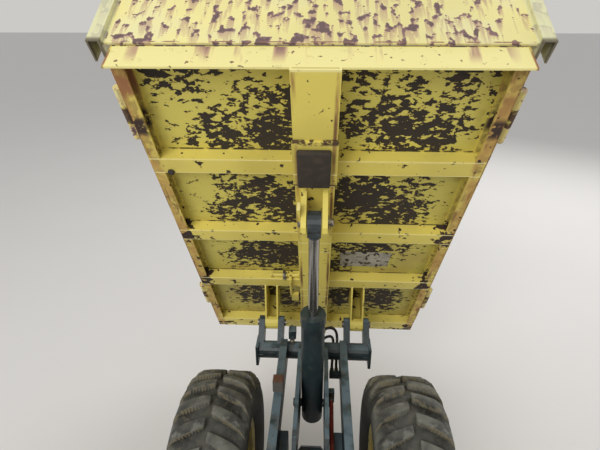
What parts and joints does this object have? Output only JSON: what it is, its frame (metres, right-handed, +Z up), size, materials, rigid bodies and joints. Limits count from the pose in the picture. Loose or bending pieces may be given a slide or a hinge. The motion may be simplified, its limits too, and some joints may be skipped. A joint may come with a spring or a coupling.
{
  "type": "site dumper",
  "caption": "Articulated site dumper on four lugged tyres, its flat drop-side load bed tipped up over the front end by a single cylinder.",
  "frame": {"origin": "on the ground, in the middle of the machine's outer box as it stands with its bed tipped up", "axes": "+Y forward, +X to the driver's right, +Z up"},
  "size_m": [1.142, 3.4185, 2.1961],
  "materials": {
    "bed_paint": "faded lemon-yellow paint, rusted",
    "frame_paint": "dull dark blue-green paint",
    "panel_paint": "faded yellow paint",
    "bare_steel": "worn oiled steel",
    "rod_chrome": "polished rod",
    "tyre_rubber": "dusty lugged rubber",
    "black_rubber": "matt",
    "red_rubber": "matt, dusty",
    "engine_iron": "oily",
    "exhaust_steel": "heat-browned",
    "seat_vinyl": "black vinyl",
    "wheel_plastic": "black moulding"
  },
  "bodies": {
    "front": {"front_frame": "frame_paint", "steering_bracket": "frame_paint", "hinge_pins": "bare_steel", "kingpin": "bare_steel", "rest_block": "bare_steel", "front_axle": "frame_paint", "red_hose": "red_rubber", "lift_hoses": "black_rubber"},
    "bed": {"bed_floor": "bed_paint", "bed_frame": "bed_paint", "rubber_pad": "black_rubber", "headboard": "bed_paint"},
    "gate_left": {"gate_left": "bed_paint"},
    "gate_right": {"gate_right": "bed_paint"},
    "gate_front": {"gate_front": "bed_paint"},
    "tip_barrel": {"tip_barrel": "frame_paint"},
    "tip_rod": {"tip_rod": "rod_chrome"},
    "rear": {"rear_frame": "frame_paint", "rear_axle": "frame_paint", "foot_plate": "frame_paint", "fuel_tank": "frame_paint", "hydraulic_tank": "frame_paint", "steering_column": "frame_paint", "mudguards": "panel_paint", "side_panels": "frame_paint", "grille_panel": "frame_paint", "seat_box": "frame_paint", "engine_block": "engine_iron", "gearbox": "frame_paint", "exhaust": "exhaust_steel", "seat_pan": "bare_steel", "seat_cushion": "seat_vinyl", "seat_backrest": "seat_vinyl", "levers": "bare_steel", "rear_weight": "frame_paint", "tow_jaw": "frame_paint"},
    "bonnet": {"bonnet": "panel_paint"},
    "steering_wheel": {"steering_wheel": "wheel_plastic"},
    "steer_barrel": {"steer_barrel": "frame_paint"},
    "steer_rod": {"steer_rod": "rod_chrome"},
    "wheel_front_left": {"tyre_front_left": "tyre_rubber", "rim_front_left": "panel_paint"},
    "wheel_front_right": {"tyre_front_right": "tyre_rubber", "rim_front_right": "panel_paint"},
    "wheel_rear_left": {"tyre_rear_left": "tyre_rubber", "rim_rear_left": "panel_paint"},
    "wheel_rear_right": {"tyre_rear_right": "tyre_rubber", "rim_rear_right": "panel_paint"}
  },
  "joints": [
    {"name": "steer", "type": "hinge", "parent": "front", "child": "rear", "pos_m": [0, -0.26325, 0.5125], "axis": [0, 0, 1], "range_deg": [-33, 33]},
    {"name": "wheel_front_left", "type": "hinge", "parent": "front", "child": "wheel_front_left", "pos_m": [-0.3525, 0.58675, 0.38], "axis": [-1, 0, 0], "continuous": true},
    {"name": "wheel_front_right", "type": "hinge", "parent": "front", "child": "wheel_front_right", "pos_m": [0.3525, 0.58675, 0.38], "axis": [-1, 0, 0], "continuous": true},
    {"name": "wheel_rear_left", "type": "hinge", "parent": "rear", "child": "wheel_rear_left", "pos_m": [-0.3525, -0.96325, 0.38], "axis": [-1, 0, 0], "continuous": true},
    {"name": "wheel_rear_right", "type": "hinge", "parent": "rear", "child": "wheel_rear_right", "pos_m": [0.3525, -0.96325, 0.38], "axis": [-1, 0, 0], "continuous": true},
    {"name": "tip", "type": "hinge", "parent": "front", "child": "bed", "pos_m": [0, 1.14475, 0.68], "axis": [-1, 0, 0], "range_deg": [-60, 0]},
    {"name": "tip_barrel_swing", "type": "hinge", "parent": "front", "child": "tip_barrel", "pos_m": [0, 0.85675, 0.477], "axis": [-1, 0, 0], "range_deg": [-64.1, 1]},
    {"name": "tip_rod_slide", "type": "slide", "parent": "tip_barrel", "child": "tip_rod", "axis": [0, -0.1653, 0.9862], "range_m": [-0.3537, 0.002]},
    {"name": "steer_barrel_swing", "type": "hinge", "parent": "rear", "child": "steer_barrel", "pos_m": [-0.19, -0.64325, 0.455], "axis": [0, 0, 1], "range_deg": [-15, 15]},
    {"name": "steer_rod_slide", "type": "slide", "parent": "steer_barrel", "child": "steer_rod", "axis": [0, 1, 0], "range_m": [-0.13, 0.13]},
    {"name": "gate_left_swing", "type": "hinge", "parent": "bed", "child": "gate_left", "pos_m": [-0.54, 1.27032, 0.7525], "axis": [0, -0.5, 0.866], "range_deg": [0, 180]},
    {"name": "gate_right_swing", "type": "hinge", "parent": "bed", "child": "gate_right", "pos_m": [0.54, 1.27032, 0.7525], "axis": [0, 0.5, -0.866], "range_deg": [0, 180]},
    {"name": "gate_front_swing", "type": "hinge", "parent": "bed", "child": "gate_front", "pos_m": [0, 1.43482, 0.46758], "axis": [-1, 0, 0], "range_deg": [0, 180]},
    {"name": "bonnet_lift", "type": "hinge", "parent": "rear", "child": "bonnet", "pos_m": [0, -1.56925, 0.798], "axis": [1, 0, 0], "range_deg": [0, 70]},
    {"name": "steering_wheel_turn", "type": "hinge", "parent": "rear", "child": "steering_wheel", "pos_m": [0, -0.58794, 1.13043], "axis": [0, -0.342, 0.9397], "continuous": true}
  ],
  "couplings": [
    {"joint": "tip_barrel_swing", "follows": "tip", "ratio": 1.0428},
    {"joint": "tip_rod_slide", "follows": "tip", "m_per_rad": 0.33494},
    {"joint": "steer_barrel_swing", "follows": "steer", "ratio": -0.29611},
    {"joint": "steer_rod_slide", "follows": "steer", "m_per_rad": 0.18615}
  ]
}
